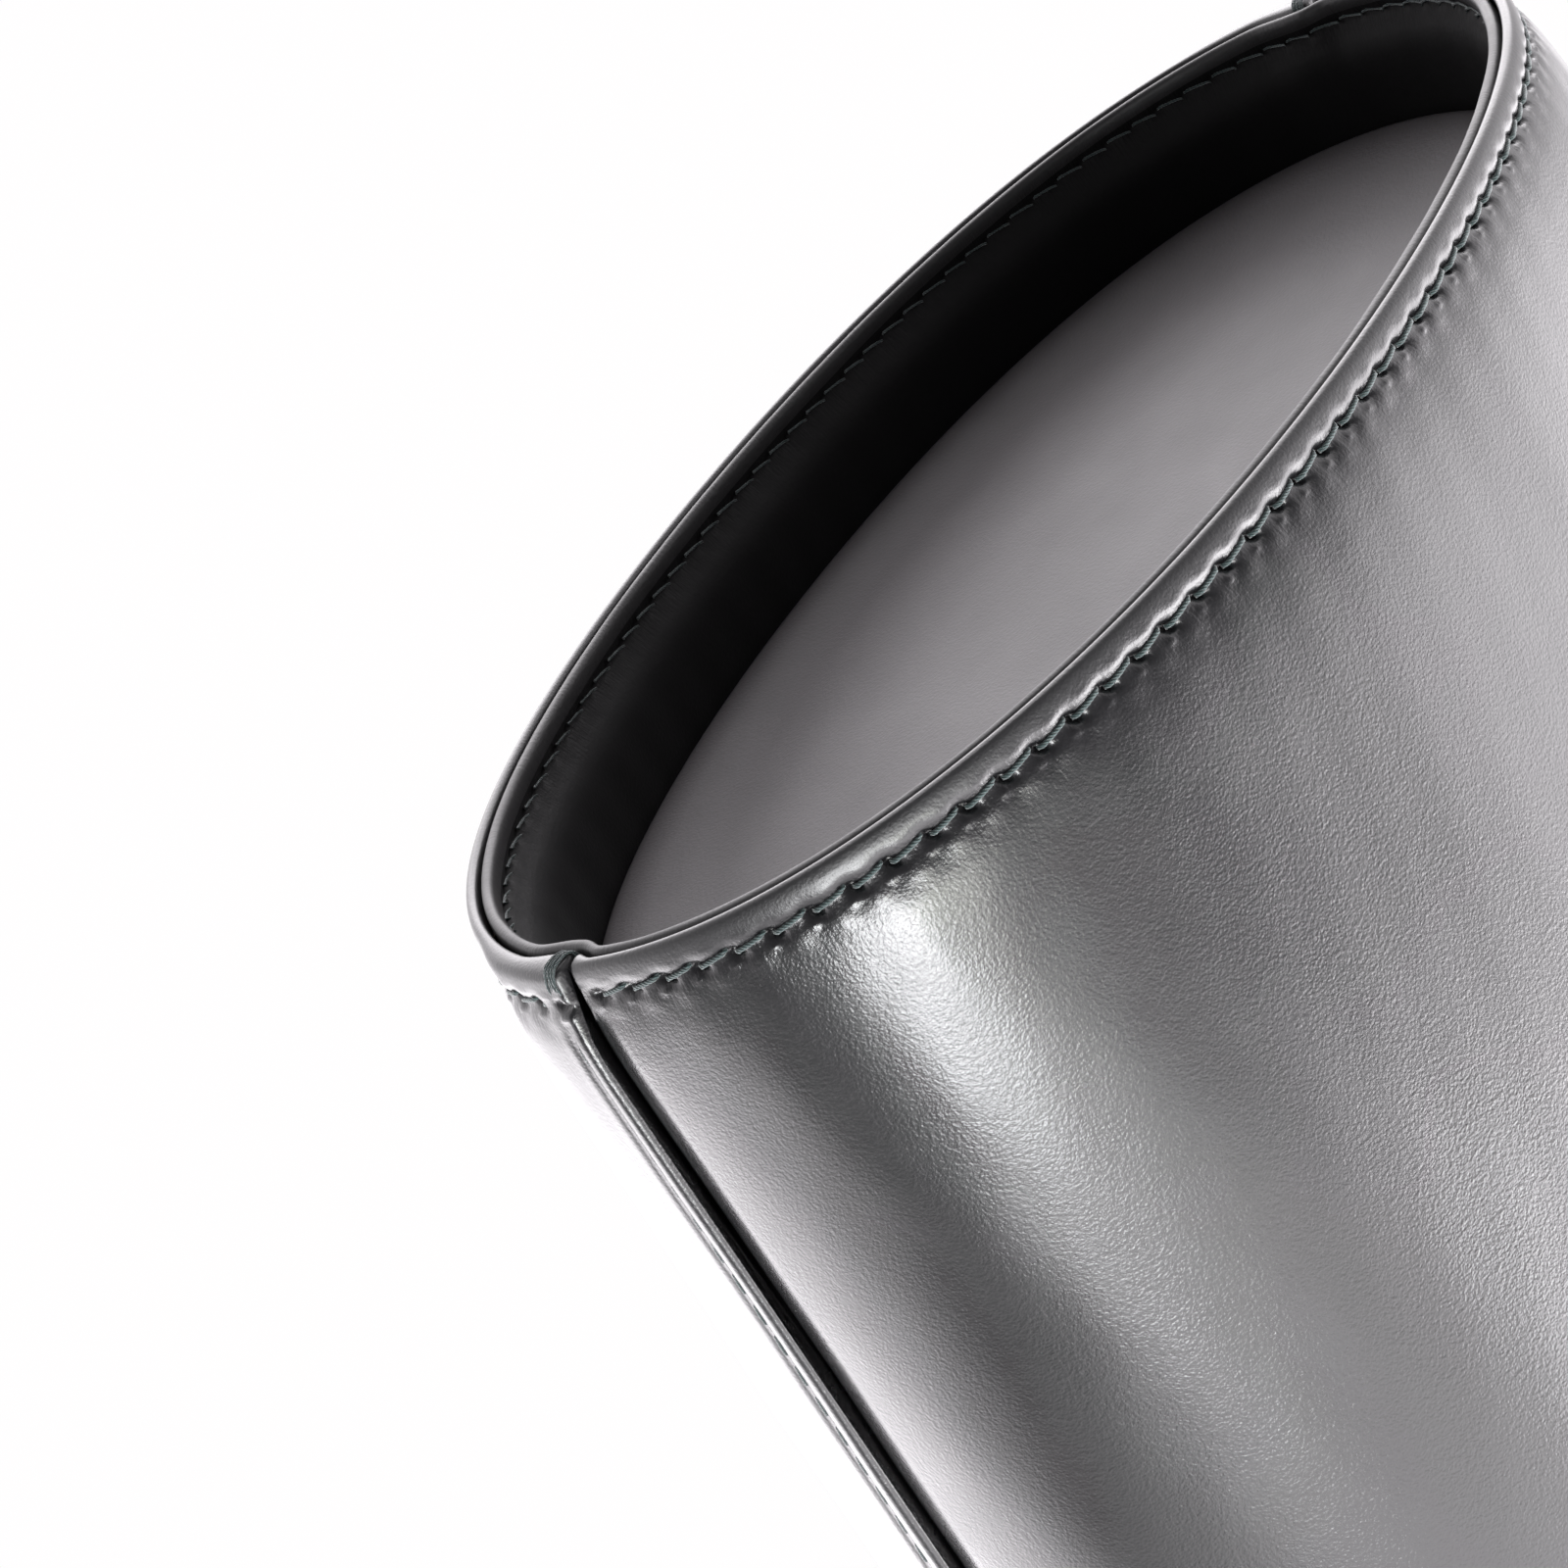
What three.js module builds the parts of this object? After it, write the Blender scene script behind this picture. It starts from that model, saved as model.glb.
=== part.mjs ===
// Oval leather dice cup, standing mouth up on its foot ring.
// Millimetres, +Z up. The origin is the centre of the foot, on the surface the cup stands on.
// X runs along the long axis of the oval, with one side seam at each end of it.
import * as THREE from 'three';

// ---- Driving dimensions -------------------------------------------------------------------
const height = 95;              // foot edge to mouth edge
const footHalfLength = 45.8;    // groove between the two foot lips, half its long axis
const footHalfWidth = 28;       // the same groove, half its short axis
const ovalFullness = 0.012;     // how much squarer than an ellipse the oval is
const flareSlope = 0.11;        // outward lean of the wall, mm per mm of height
const flareEaseHeight = 45;     // above this height the lean eases off
const flareEase = 0.0006;       // how quickly it eases, per mm

const leatherThickness = 0.8;
const boardThickness = 1.2;
const clearance = 0.3;          // glue line or free gap between neighbouring pieces
const lipWidth = 0.65;          // each folded edge, seen from below
const grooveHalf = 0.3;         // half of the groove between the folded edges, at its mouth
const pinchHalf = 0.12;         // half of the same gap where the stitching pulls it shut
const lipRound = 0.3;           // rounding of a folded edge
const stitchHeight = 1.85;      // stitch row, from the folded edge
const channelDepth = 0.33;      // how far the stitch row sinks into the leather
const threadDiameter = 0.44;
const pillowHeight = 4;         // where the wall has swelled to its full thickness

const recessDepth = 11;         // foot edge to the leather on the underside
const baseBoardThickness = 1.6;
const floorBoardThickness = 2;
const floorPadThickness = 1.5;
const turnUp = 1.4;             // base leather folded up around its board
const facingDepth = 15;         // leather band inside the mouth

const lapWidth = 6;             // back panel over front panel at each side seam
const lapRise = 0.8;            // how far the lapped edge stands out
const lapRamp = 5;              // length over which the back panel climbs on to the lap
const foldSetBack = 0.8;        // folded edge of the lap, behind the end of the oval
const lapSkive = 0.5;           // thickness of the front panel's edge under the lap
const foldGap = 0.4;            // between the folded edge and the full thickness of the front panel
const seamRowInset = 1.05;      // side stitch row, from the folded edge
const footBandSetBack = 0.15;   // the inner folded edge stands this far above the outer one
const rowWidth = 0.7;           // side stitch row, seen from outside
const tackWidth = 2.4;
const tackHeight = 0.8;

const ringSegments = 56;
const panelSegments = 22;
const lapSegments = 2;
const rowSteps = 14;

// Offsets outwards from the groove line
const outerFace = grooveHalf + lipWidth + 0.4;
const outerBack = outerFace - leatherThickness;
const boardFace = outerBack - clearance;
const boardBack = boardFace - boardThickness;
const liningFace = boardBack - clearance;
const liningBack = liningFace - leatherThickness;
const lipFace = grooveHalf + lipWidth;
const channelFloor = lipFace - channelDepth;
const discEdge = liningBack - clearance;

// ---- The oval and its offsets ---------------------------------------------------------------
const ovalBase = (angle) => {
  const k = ovalFullness;
  const x = footHalfLength * (Math.cos(angle) - k * Math.cos(3 * angle)) / (1 - k);
  const y = footHalfWidth * (Math.sin(angle) + k * Math.sin(3 * angle)) / (1 - k);
  return new THREE.Vector2(x, y);
};

const ovalNormal = (angle) => {
  const k = ovalFullness;
  const dx = footHalfLength * (-Math.sin(angle) + 3 * k * Math.sin(3 * angle));
  const dy = footHalfWidth * (Math.cos(angle) + 3 * k * Math.cos(3 * angle));
  return new THREE.Vector2(dy, -dx).normalize();
};

const flareAt = (z) => {
  const above = Math.max(0, z - flareEaseHeight);
  return flareSlope * z - flareEase * above * above;
};

const wallPoint = (angle, offset, z) => {
  const flat = ovalBase(angle).addScaledVector(ovalNormal(angle), offset + flareAt(z));
  return new THREE.Vector3(flat.x, flat.y, z);
};

// Angle that lies a given length along the foot line from the end of the long axis at startAngle
const angleAlong = (startAngle, length) => {
  const steps = 40;
  let angle = startAngle;
  for (let i = 0; i < steps; i += 1) {
    const nudge = 1e-4;
    const speed = ovalBase(angle + nudge).distanceTo(ovalBase(angle)) / nudge;
    angle += length / steps / speed;
  }
  return angle;
};

// ---- Shape helpers ----------------------------------------------------------------------------
// Moves every vertex of a straight or round geometry to its place on the cup
const remap = (geometry, place) => {
  const position = geometry.attributes.position;
  const point = new THREE.Vector3();
  for (let i = 0; i < position.count; i += 1) {
    point.copy(place(point.fromBufferAttribute(position, i)));
    position.setXYZ(i, point.x, point.y, point.z);
  }
  geometry.deleteAttribute('uv');
  geometry.computeVertexNormals();
  return geometry;
};

const latheRadius = 100;
const latheAngle = (p) => Math.round(Math.atan2(p.x, p.z) * 1e6) / 1e6;
const latheOffset = (p) => Math.hypot(p.x, p.z) - latheRadius;
const latheLoop = (outline) => outline.map(([offset, z]) => new THREE.Vector2(latheRadius + offset, z));

// A closed outline of [offset, height] pairs, carried all the way round the oval
const ovalRing = (outline) => {
  const loop = latheLoop([...outline, outline[0]]);
  const geometry = new THREE.LatheGeometry(loop, ringSegments);
  return remap(geometry, (p) => wallPoint(latheAngle(p), latheOffset(p), p.y));
};

// A flat oval plate with an upright edge that keeps an even margin inside the wall.
// The outline runs from the middle of its underside, out, up and back in.
const ovalPlate = (outline) => {
  const low = new THREE.Vector2(0, outline[0][1]);
  const high = new THREE.Vector2(0, outline[outline.length - 1][1]);
  const geometry = new THREE.LatheGeometry([low, ...latheLoop(outline), high], ringSegments);
  return remap(geometry, (p) => {
    const onAxis = Math.hypot(p.x, p.z) < 1;
    return onAxis ? new THREE.Vector3(0, 0, p.y) : wallPoint(latheAngle(p), latheOffset(p), p.y);
  });
};

// The outline carried through a list of angles, its two ends closed.
// lift(angle, offset, z) moves a point of the outline outwards.
const ovalStrip = (outline, angles, lift = () => 0) => {
  const steps = angles.length - 1;
  const shape = new THREE.Shape(outline.map(([offset, z]) => new THREE.Vector2(offset, z)));
  const geometry = new THREE.ExtrudeGeometry(shape, { depth: steps, steps, bevelEnabled: false });
  return remap(geometry, (p) => {
    const angle = angles[steps - Math.round(p.z)];
    return wallPoint(angle, p.x + lift(angle, p.x, p.y), p.y);
  });
};

const spread = (from, to, count) =>
  Array.from({ length: count + 1 }, (_, i) => from + (to - from) * i / count);

const flipped = (outline) => outline.map(([offset, z]) => [offset, height - z]).reverse();

const box = (near, far, low, high) => [[near, low], [far, low], [far, high], [near, high]];

const piece = (name, geometry, material) => {
  const mesh = new THREE.Mesh(geometry, material.clone());
  mesh.name = name;
  return mesh;
};

// ---- Materials --------------------------------------------------------------------------------
const finish = (color, roughness) => new THREE.MeshStandardMaterial({ color, roughness, metalness: 0 });
const outerLeather = finish(0x17171a, 0.35);
const mattLeather = finish(0x2c2b2e, 0.6);
const suede = finish(0x1f1e20, 0.95);
const fibreboard = finish(0x6b5a45, 0.9);
const foam = finish(0x3a3a3a, 0.95);
const thread = finish(0x17322f, 0.7);

// ---- Side seams ---------------------------------------------------------------------------------
// One at each end of the long axis: side is +1 at +X and -1 at -X. The back panel's folded edge
// laps over the pared edge of the front panel.
const fullTurn = Math.PI * 2;
const alongSeam = (side, length) => angleAlong(side > 0 ? 0 : Math.PI, side * length);
const foldAngle = (side) => alongSeam(side, foldSetBack);
const lapEndAngle = (side) => alongSeam(side, foldSetBack + lapWidth);
const rampAngle = (side) => alongSeam(side, foldSetBack + lapWidth + lapRamp);

const lapLift = (angle) => {
  const right = 1 - THREE.MathUtils.smoothstep(angle, lapEndAngle(1), rampAngle(1));
  const left = THREE.MathUtils.smoothstep(angle, rampAngle(-1), lapEndAngle(-1));
  return lapRise * Math.max(right, left);
};

const pare = (angle, offset, z) => {
  const onBackHalf = Math.sin(angle) > Math.sin(foldAngle(1)) - 1e-4;
  const nearEdge = z < pillowHeight - 0.5 || z > height - pillowHeight + 0.5;
  const limit = lapSkive + (nearEdge ? pinchHalf : outerBack);
  return onBackHalf && offset > limit ? limit - offset : 0;
};

const backAngles = [
  ...spread(foldAngle(1), lapEndAngle(1), lapSegments),
  ...spread(lapEndAngle(1), rampAngle(1), lapSegments).slice(1),
  ...spread(rampAngle(1), rampAngle(-1), panelSegments).slice(1),
  ...spread(rampAngle(-1), lapEndAngle(-1), lapSegments).slice(1),
  ...spread(lapEndAngle(-1), foldAngle(-1), lapSegments).slice(1),
];
const pareStart = (side) => alongSeam(side, foldSetBack - foldGap);
const pareEnd = (side) => alongSeam(side, foldSetBack + lapWidth - clearance);
const frontAngles = [
  ...spread(pareEnd(-1), foldAngle(-1), lapSegments),
  ...spread(pareStart(-1), fullTurn + pareStart(1), panelSegments + 4),
  ...spread(fullTurn + foldAngle(1), fullTurn + pareEnd(1), lapSegments),
];

// ---- Outer panels -----------------------------------------------------------------------------
// The foot edge of a panel, outside and inside; the mouth edge is the same, turned over.
const edgeOut = [
  [grooveHalf, 0],
  [lipFace - lipRound, 0],
  [lipFace, lipRound],
  [lipFace, stitchHeight - threadDiameter * 1.4],
  [channelFloor, stitchHeight - threadDiameter * 0.8],
  [channelFloor, stitchHeight + threadDiameter * 0.8],
  [outerFace - 0.2, stitchHeight + threadDiameter * 2.2],
  [outerFace, pillowHeight],
];
const edgeIn = [[outerBack, pillowHeight], [pinchHalf, pillowHeight - 1.2], [pinchHalf, lipRound]];
const wallLevels = [flareEaseHeight, (height + flareEaseHeight) / 2];
const panelOutline = [
  ...edgeOut,
  ...wallLevels.map((z) => [outerFace, z]),
  ...flipped(edgeOut),
  ...flipped(edgeIn),
  ...[...wallLevels].reverse().map((z) => [outerBack, z]),
  ...edgeIn,
];

const shell = new THREE.Group();
shell.add(piece('outer_panel_back', ovalStrip(panelOutline, backAngles, lapLift), outerLeather));
shell.add(piece('outer_panel_front', ovalStrip(panelOutline, frontAngles, pare), outerLeather));

// ---- Stiffening boards, one behind each panel, butted at the ends of the oval -------------------
const boardLow = pillowHeight - 0.4;
const boardHigh = height - boardLow;
const boardOutline = [
  [boardBack, boardLow],
  [boardFace, boardLow],
  ...wallLevels.map((z) => [boardFace, z]),
  [boardFace, boardHigh],
  [boardBack, boardHigh],
  ...[...wallLevels].reverse().map((z) => [boardBack, z]),
];
const halfAngles = (side) => {
  const gap = angleAlong(0, clearance / 2);
  const start = side > 0 ? 0 : Math.PI;
  return spread(start + gap, start + Math.PI - gap, panelSegments + 4);
};
shell.add(piece('shell_board_back', ovalStrip(boardOutline, halfAngles(1)), fibreboard));
shell.add(piece('shell_board_front', ovalStrip(boardOutline, halfAngles(-1)), fibreboard));

// ---- Base: foot band, leather-covered base plate and floor board -------------------------------
const bandTop = recessDepth + leatherThickness + baseBoardThickness + 2 * clearance;
const floorBoardLow = bandTop + clearance;
// A band of leather inside the wall: a folded edge and the stitch row at the foot, then plain.
const bandOutline = (lipLow, end) => [
  [-lipFace + lipRound, lipLow],
  [-grooveHalf, lipLow],
  [-pinchHalf, lipLow + lipRound],
  [-pinchHalf, pillowHeight - 1.5],
  [liningFace, pillowHeight - 0.7],
  [liningFace, end],
  [liningBack, end],
  [liningBack, pillowHeight - 0.3],
  [-channelFloor, stitchHeight + threadDiameter * 0.8],
  [-channelFloor, stitchHeight - threadDiameter * 0.8],
  [-lipFace, stitchHeight - threadDiameter * 1.4],
  [-lipFace, lipLow + lipRound],
];
const baseLeatherTop = recessDepth + leatherThickness;
const baseBoardLow = baseLeatherTop + clearance;
const wrapInner = discEdge - leatherThickness;
const baseLeatherOutline = [
  [discEdge - lipRound, recessDepth],
  [discEdge, recessDepth + lipRound],
  [discEdge, baseBoardLow + turnUp],
  [wrapInner, baseBoardLow + turnUp],
  [wrapInner, baseLeatherTop],
];
const slab = (edge, low, thickness) => ovalPlate([[edge, low], [edge, low + thickness]]);

const base = new THREE.Group();
base.add(piece('foot_band', ovalRing(bandOutline(footBandSetBack, bandTop)), mattLeather));
base.add(piece('base_leather', ovalPlate(baseLeatherOutline), mattLeather));
base.add(piece('base_board', slab(wrapInner - clearance, baseBoardLow, baseBoardThickness), fibreboard));
base.add(piece('floor_board', slab(liningFace, floorBoardLow, floorBoardThickness), fibreboard));

// ---- Lining: two halves of wall lining, floor pad, floor lining and the mouth facing -------------
const liningLow = floorBoardLow + floorBoardThickness + clearance;
const facingLow = height - facingDepth;
const liningHigh = facingLow - clearance;
const liningOutline = [
  [liningBack, liningLow],
  [liningFace, liningLow],
  [liningFace, flareEaseHeight],
  [liningFace, wallLevels[1]],
  [liningFace, liningHigh],
  [liningBack, liningHigh],
  [liningBack, wallLevels[1]],
  [liningBack, flareEaseHeight],
];
const padLow = liningLow;
const floorLiningLow = padLow + floorPadThickness + clearance;
const lining = new THREE.Group();
lining.add(piece('wall_lining_back', ovalStrip(liningOutline, halfAngles(1)), suede));
lining.add(piece('wall_lining_front', ovalStrip(liningOutline, halfAngles(-1)), suede));
lining.add(piece('mouth_facing', ovalRing(flipped(bandOutline(0, facingDepth))), mattLeather));
lining.add(piece('floor_pad', slab(discEdge - 1, padLow, floorPadThickness), foam));
lining.add(piece('floor_lining', slab(discEdge, floorLiningLow, leatherThickness), suede));

// ---- Thread -------------------------------------------------------------------------------------
// Each edge has a needle thread outside and a bobbin thread inside, lying in the stitched channels.
const threadRadius = threadDiameter / 2;
const threadSides = 5;
const threadOutline = (offset, z) => Array.from({ length: threadSides }, (_, i) => {
  const turn = fullTurn * i / threadSides;
  return [offset + threadRadius * Math.cos(turn), z + threadRadius * Math.sin(turn)];
});
const needleOffset = channelFloor + clearance + threadRadius;
const pastFold = alongSeam(-1, foldSetBack - clearance);
const needleAngles = [
  ...spread(alongSeam(1, foldSetBack + clearance), lapEndAngle(1), lapSegments),
  ...spread(lapEndAngle(1), rampAngle(1), lapSegments).slice(1),
  ...spread(rampAngle(1), rampAngle(-1), panelSegments).slice(1),
  ...spread(rampAngle(-1), lapEndAngle(-1), lapSegments).slice(1),
  ...spread(lapEndAngle(-1), pastFold, lapSegments).slice(1),
  ...spread(alongSeam(-1, 0), fullTurn + alongSeam(1, 0), panelSegments + 4),
];
const needleLift = (angle) => (angle <= pastFold ? lapLift(angle) : 0);

const threads = new THREE.Group();
for (const [edge, z] of [['foot', stitchHeight], ['mouth', height - stitchHeight]]) {
  const needle = ovalStrip(threadOutline(needleOffset, z), needleAngles, needleLift);
  const bobbin = ovalRing(threadOutline(-needleOffset, z));
  threads.add(piece(`${edge}_needle_thread`, needle, thread));
  threads.add(piece(`${edge}_bobbin_thread`, bobbin, thread));
}

// Down each lap runs a row of its own, and a bar of loops ties the fold at both edges.
const lapFace = outerFace + lapRise + clearance;
const rowEnd = pillowHeight + 0.6;
const rowLength = height - 2 * rowEnd;
const tackFace = lipFace + lapRise + clearance;
const tackOutline = box(tackFace, tackFace + threadDiameter, lipRound, lipRound + tackHeight);
for (const [sideName, side] of [['right', 1], ['left', -1]]) {
  const tackAngles = [-0.5, 0.5].map((k) => foldSetBack + k * tackWidth);
  const sorted = (lengths) => lengths.map((length) => alongSeam(side, length)).sort((a, b) => a - b);
  const bar = new THREE.BoxGeometry(rowWidth, rowLength, threadDiameter, 1, rowSteps, 1);
  const row = remap(bar, (p) => wallPoint(
    alongSeam(side, foldSetBack + seamRowInset + side * p.x),
    lapFace + threadDiameter / 2 + p.z,
    height / 2 + p.y,
  ));
  threads.add(piece(`seam_thread_${sideName}`, row, thread));
  threads.add(piece(`foot_tack_${sideName}`, ovalStrip(tackOutline, sorted(tackAngles)), thread));
  const mouthTack = ovalStrip(flipped(tackOutline), sorted(tackAngles));
  threads.add(piece(`mouth_tack_${sideName}`, mouthTack, thread));
}

export default new THREE.Group().add(shell, base, lining, threads);
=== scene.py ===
# Oval leather dice cup: folded and stitched edges, lapped side seams, sunken base.
import math
import bpy
import numpy as np
from mathutils import Matrix, Vector


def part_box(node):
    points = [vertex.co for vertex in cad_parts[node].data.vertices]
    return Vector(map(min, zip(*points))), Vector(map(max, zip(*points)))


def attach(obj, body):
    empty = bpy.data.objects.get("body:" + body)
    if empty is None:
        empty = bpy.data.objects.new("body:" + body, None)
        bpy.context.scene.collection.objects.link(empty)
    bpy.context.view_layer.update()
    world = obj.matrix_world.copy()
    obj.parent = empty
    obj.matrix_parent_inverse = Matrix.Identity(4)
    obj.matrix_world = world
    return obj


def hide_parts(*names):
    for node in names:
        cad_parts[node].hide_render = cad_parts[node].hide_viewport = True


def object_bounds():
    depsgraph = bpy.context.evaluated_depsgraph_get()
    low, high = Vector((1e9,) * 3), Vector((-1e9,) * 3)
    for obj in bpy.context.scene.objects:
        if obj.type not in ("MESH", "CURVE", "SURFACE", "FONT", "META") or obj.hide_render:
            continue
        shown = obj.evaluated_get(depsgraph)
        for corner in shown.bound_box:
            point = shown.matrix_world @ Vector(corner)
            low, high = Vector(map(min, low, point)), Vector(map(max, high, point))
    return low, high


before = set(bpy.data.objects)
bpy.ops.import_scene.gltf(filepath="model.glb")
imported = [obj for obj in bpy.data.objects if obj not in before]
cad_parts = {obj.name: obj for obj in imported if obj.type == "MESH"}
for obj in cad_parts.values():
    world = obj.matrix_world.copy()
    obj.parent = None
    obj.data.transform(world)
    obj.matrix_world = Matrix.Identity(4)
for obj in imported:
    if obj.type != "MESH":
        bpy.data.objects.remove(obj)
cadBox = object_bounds()
mm = 0.001
fullTurn = 2 * math.pi
print("frame loaded:", len(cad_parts), "nodes")

# the oval that every piece follows, in millimetres
cup = {
    "fullness": 0.012,      # how much squarer than an ellipse the oval is
    "lean": 0.11,           # outward lean of the wall
    "easeFrom": 45.0,       # height above which the lean eases off
    "ease": 0.0006,
    "threadFace": 0.92,     # outer side of the inner thread, inside the foot line
    "stitchRow": 1.85,      # stitch row, from the folded edge
    "stitchCount": 108,
    "stitchStart": 0.7,     # first needle hole, in stitches from the end of the oval
    "fold": 0.8,            # folded edge of each side lap, behind the end of the oval
    "lap": 6.0,
    "lapRamp": 5.0,
    "lapRise": 0.8,
    "holeWander": 0.09,     # how far a needle hole strays along its row
    "holePull": (0.75, 1.2),
    "seed": 11,
}


def leanAt(z):
    above = np.maximum(0, z - cup["easeFrom"])
    return cup["lean"] * z - cup["ease"] * above * above


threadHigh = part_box("foot_bobbin_thread")[1]
threadBack = cup["threadFace"] - leanAt(cup["stitchRow"])
cup["halfLength"] = threadHigh.x / mm + threadBack
cup["halfWidth"] = threadHigh.y / mm + threadBack
cup["height"] = cadBox[1].z / mm


def ovalLine(angle):
    k = cup["fullness"]
    x = cup["halfLength"] * (np.cos(angle) - k * np.cos(3 * angle)) / (1 - k)
    y = cup["halfWidth"] * (np.sin(angle) + k * np.sin(3 * angle)) / (1 - k)
    return x, y


def ovalSide(angle):
    k = cup["fullness"]
    dx = cup["halfLength"] * (-np.sin(angle) + 3 * k * np.sin(3 * angle))
    dy = cup["halfWidth"] * (np.cos(angle) + 3 * k * np.cos(3 * angle))
    length = np.hypot(dx, dy)
    return dy / length, -dx / length


turnTable = np.linspace(0, fullTurn, 7201)
lineX, lineY = ovalLine(turnTable)
lengthTable = np.concatenate([[0], np.cumsum(np.hypot(np.diff(lineX), np.diff(lineY)))])
around = lengthTable[-1]
halfWay = around / 2
pitch = around / cup["stitchCount"]
random = np.random.default_rng(cup["seed"])
holeShift = random.uniform(-cup["holeWander"], cup["holeWander"], cup["stitchCount"])
holePull = random.uniform(*cup["holePull"], cup["stitchCount"])


# a place on the cup: length along the foot line, offset outwards from it, height
def wallPoints(along, offset, z):
    angle = np.interp(np.mod(along, around), lengthTable, turnTable)
    x, y = ovalLine(angle)
    sideX, sideY = ovalSide(angle)
    out = offset + leanAt(z)
    return np.stack([x + sideX * out, y + sideY * out, z + 0 * out], axis=-1) * mm


def smooth(t):
    t = np.clip(t, 0, 1)
    return t * t * (3 - 2 * t)


def bell(t):
    return np.exp(-t * t)


def edgeGap(z):
    return np.minimum(z, cup["height"] - z)


# signed length from the nearer end of the oval, positive on the back half
def fromEnd(along):
    a = np.mod(along, around)
    return np.where(a <= halfWay, np.minimum(a, halfWay - a), -np.minimum(a - halfWay, around - a))


# the foot and mouth edges step inwards where the lap thickens them
lapStep = {"depth": 0.6, "start": -1.2, "rise": 2.1, "end": 1.6, "fall": 4.0}


def edgeStep(along):
    t = fromEnd(along)
    stepIn = smooth((t - lapStep["start"]) / lapStep["rise"])
    return lapStep["depth"] * stepIn * (1 - smooth((t - lapStep["end"]) / lapStep["fall"]))


# a needle hole: a slanted slit in a shallow dent, with leather pushed up beside the thread
needleHole = {
    "slant": (0.81, 0.59),
    "slitShift": 0.26,
    "slit": (0.66, 0.48, 0.18),             # depth, half-length, half-width
    "dent": (0.09, 0.5, 0.55),
    "spot": (0.12, 0.15, 0.24, 0.66, 0.20),  # height, then place and size along and across
    "lipRidge": (0.045, 1.30, 0.26),        # height, distance from the edge, half-width
    "wallRidge": (0.08, 2.75, 0.6),
}


def needlePit(along, gap, depth):
    longShare, wideShare = needleHole["slant"]
    slitDepth, slitLength, slitWidth = needleHole["slit"]
    dentDepth, dentLength, dentWidth = needleHole["dent"]
    spotHeight, spotAlong, spotLength, spotAcross, spotWidth = needleHole["spot"]
    u = along / pitch - cup["stitchStart"]
    k = np.round(u).astype(int)
    shift = holeShift[k % cup["stitchCount"]]
    pull = holePull[k % cup["stitchCount"]]
    du = (u - k) * pitch - shift
    dv = gap - cup["stitchRow"]
    slitLong = -longShare * du + wideShare * dv - needleHole["slitShift"]
    slitWide = wideShare * du + longShare * dv
    pit = slitDepth * bell(slitLong / slitLength) * bell(slitWide / slitWidth)
    pit = pit + dentDepth * bell(du / dentLength) * bell(dv / dentWidth)
    spot = spotHeight * bell((du - spotAlong) / spotLength) * bell((dv - spotAcross) / spotWidth)
    puff = 0.5 - 0.5 * np.cos(fullTurn * (u - k))
    ridge = 0
    for height, place, width in (needleHole["lipRidge"], needleHole["wallRidge"]):
        ridge = ridge + height * puff * bell((gap - place) / width)
    return depth * (pull * (spot - pit) + ridge)


# soft unevenness of the hide: height in millimetres, waves round the oval, turn per
# millimetre of height, start, and how much of the phase it takes
hideWaves = [
    (0.050, 9, 0.051, 0, 1), (0.040, 14, -0.09, 1.3, 1), (0.030, 23, 0.13, 0, 2.1),
    (0.035, 5, 0.21, 0, 0), (0.012, 41, 0.37, 0, 0), (0.010, 57, -0.52, 0, 1),
]


def hideWave(along, z, phase=0.0):
    a = along * fullTurn / around
    wave = 0
    for height, turns, climb, start, share in hideWaves:
        wave = wave + height * np.sin(turns * a + climb * z + start + share * phase)
    return wave


def deselectAll():
    if bpy.context.mode != "OBJECT":
        bpy.ops.object.mode_set(mode="OBJECT")
    bpy.ops.object.select_all(action="DESELECT")


def selectOnly(piece):
    deselectAll()
    piece.select_set(True)
    bpy.context.view_layer.objects.active = piece


# a curve through points, each with its own number of steps to the next
def curveThrough(points, steps):
    points = np.array(points, float)
    padded = np.vstack([2 * points[0] - points[1], points, 2 * points[-1] - points[-2]])
    out = []
    for i, count in enumerate(steps):
        a, b, c, d = padded[i:i + 4]
        for t in np.arange(count) / count:
            out.append(0.5 * (2 * b + (c - a) * t + (2 * a - 5 * b + 4 * c - d) * t ** 2
                              + (3 * b - a - 3 * c + d) * t ** 3))
    out.append(points[-1])
    return np.array(out)


# a flat sheet of faces whose columns and rows are then laid on the cup
def newSheet(name, columns, rows):
    deselectAll()
    bpy.ops.mesh.primitive_grid_add(x_subdivisions=columns - 1, y_subdivisions=rows - 1, size=1)
    piece = bpy.context.object
    piece.name = name
    piece.data.name = name
    flat = np.zeros(len(piece.data.vertices) * 3)
    piece.data.vertices.foreach_get("co", flat)
    flat = flat.reshape(-1, 3) + 0.5
    column = np.rint(flat[:, 0] * (columns - 1)).astype(int)
    row = np.rint(flat[:, 1] * (rows - 1)).astype(int)
    return piece, column, row


# the sheet's own map: length along the foot line and outline length, in millimetres
def mapSheet(piece, across, up):
    corner = np.zeros(len(piece.data.loops), int)
    piece.data.loops.foreach_get("vertex_index", corner)
    uv = np.stack([across[corner], up[corner]], axis=-1)
    piece.data.uv_layers[0].name = "alongAndUp"
    piece.data.uv_layers[0].data.foreach_set("uv", uv.astype(np.float32).ravel())


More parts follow.
